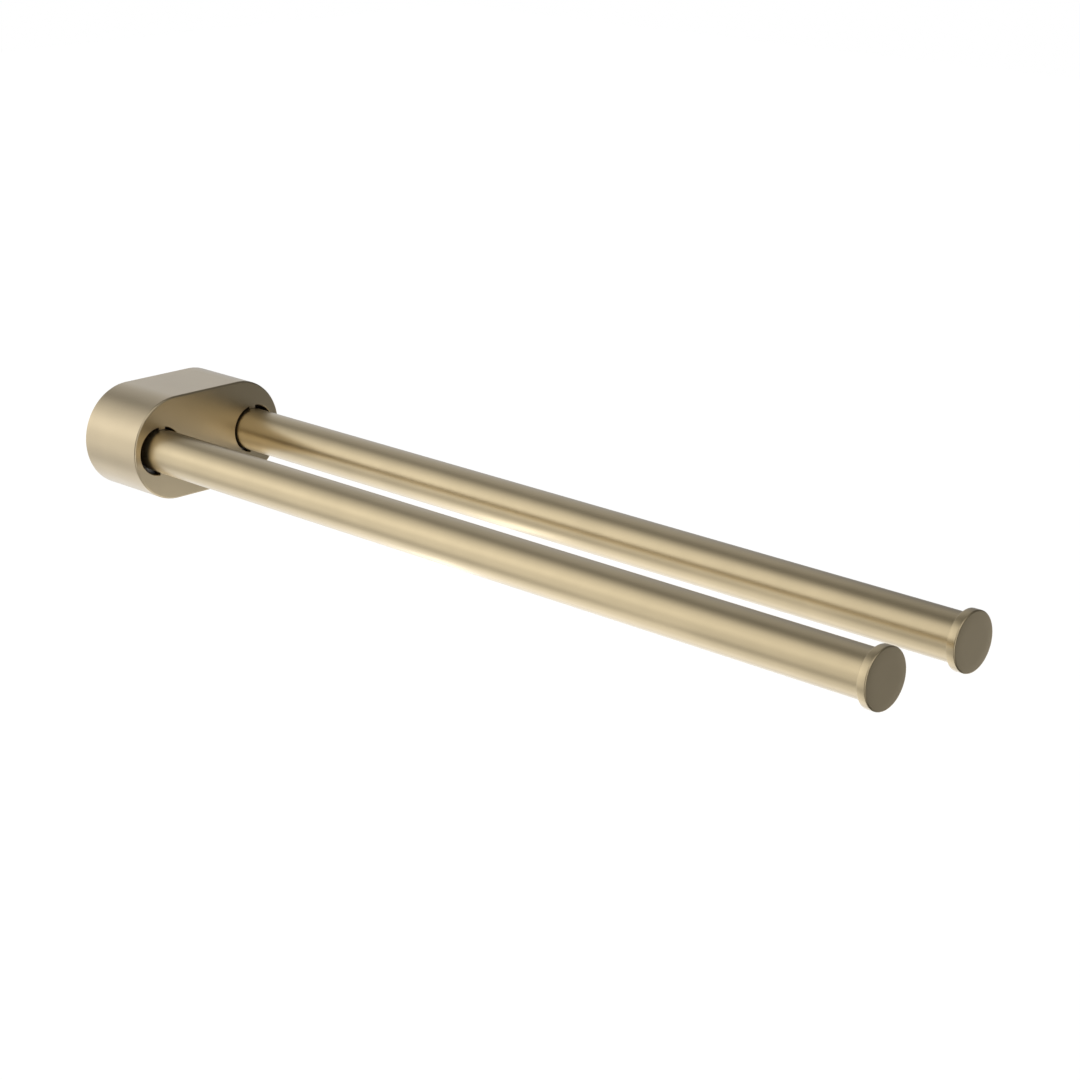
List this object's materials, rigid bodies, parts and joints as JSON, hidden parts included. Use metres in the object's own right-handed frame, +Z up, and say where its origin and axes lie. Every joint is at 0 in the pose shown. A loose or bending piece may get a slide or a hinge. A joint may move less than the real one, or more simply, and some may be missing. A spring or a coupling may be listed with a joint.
{
  "type": "double towel rail",
  "caption": "Wall-mounted double towel rail: round bars stand straight out of an obround base, swivel slightly outward on hidden pivots and end in slightly wider flat discs.",
  "frame": {"origin": "middle of the base's flat back, on the wall's surface and at the height of the bar axes", "axes": "+X to the right along the wall as seen from the room, +Y into the wall, +Z up; the bars run along -Y"},
  "size_m": [0.086, 0.45, 0.049],
  "materials": {
    "satin_brass": "fine satin champagne brass",
    "steel": "plain stainless steel",
    "cast_metal": "fine cast stainless steel",
    "dark_steel": "black oxide",
    "bush_plastic": "natural bearing plastic",
    "black_rubber": "smooth"
  },
  "bodies": {
    "base": {"base_cover": "satin_brass", "wall_plate": "steel", "swivel_bracket": "cast_metal", "bracket_screws": "dark_steel", "cover_grub_screw": "dark_steel", "left_spring_washer": "steel", "right_spring_washer": "steel", "left_thrust_washer": "steel", "right_thrust_washer": "steel", "left_pivot_screw": "dark_steel", "right_pivot_screw": "dark_steel", "left_lock_nut": "steel", "right_lock_nut": "steel"},
    "left_arm": {"left_bar_tube": "satin_brass", "left_tube_insert": "steel", "left_knuckle": "cast_metal", "left_upper_bush": "bush_plastic", "left_lower_bush": "bush_plastic", "left_end_cap": "satin_brass", "left_cap_ring": "black_rubber"},
    "right_arm": {"right_bar_tube": "satin_brass", "right_tube_insert": "steel", "right_knuckle": "cast_metal", "right_upper_bush": "bush_plastic", "right_lower_bush": "bush_plastic", "right_end_cap": "satin_brass", "right_cap_ring": "black_rubber"}
  },
  "joints": [
    {"name": "left_swivel", "type": "hinge", "parent": "base", "child": "left_arm", "pos_m": [-0.027, -0.024, 0], "axis": [0, 0, -1], "range_deg": [0, 7.5]},
    {"name": "right_swivel", "type": "hinge", "parent": "base", "child": "right_arm", "pos_m": [0.027, -0.024, 0], "axis": [0, 0, 1], "range_deg": [0, 7.5]}
  ]
}
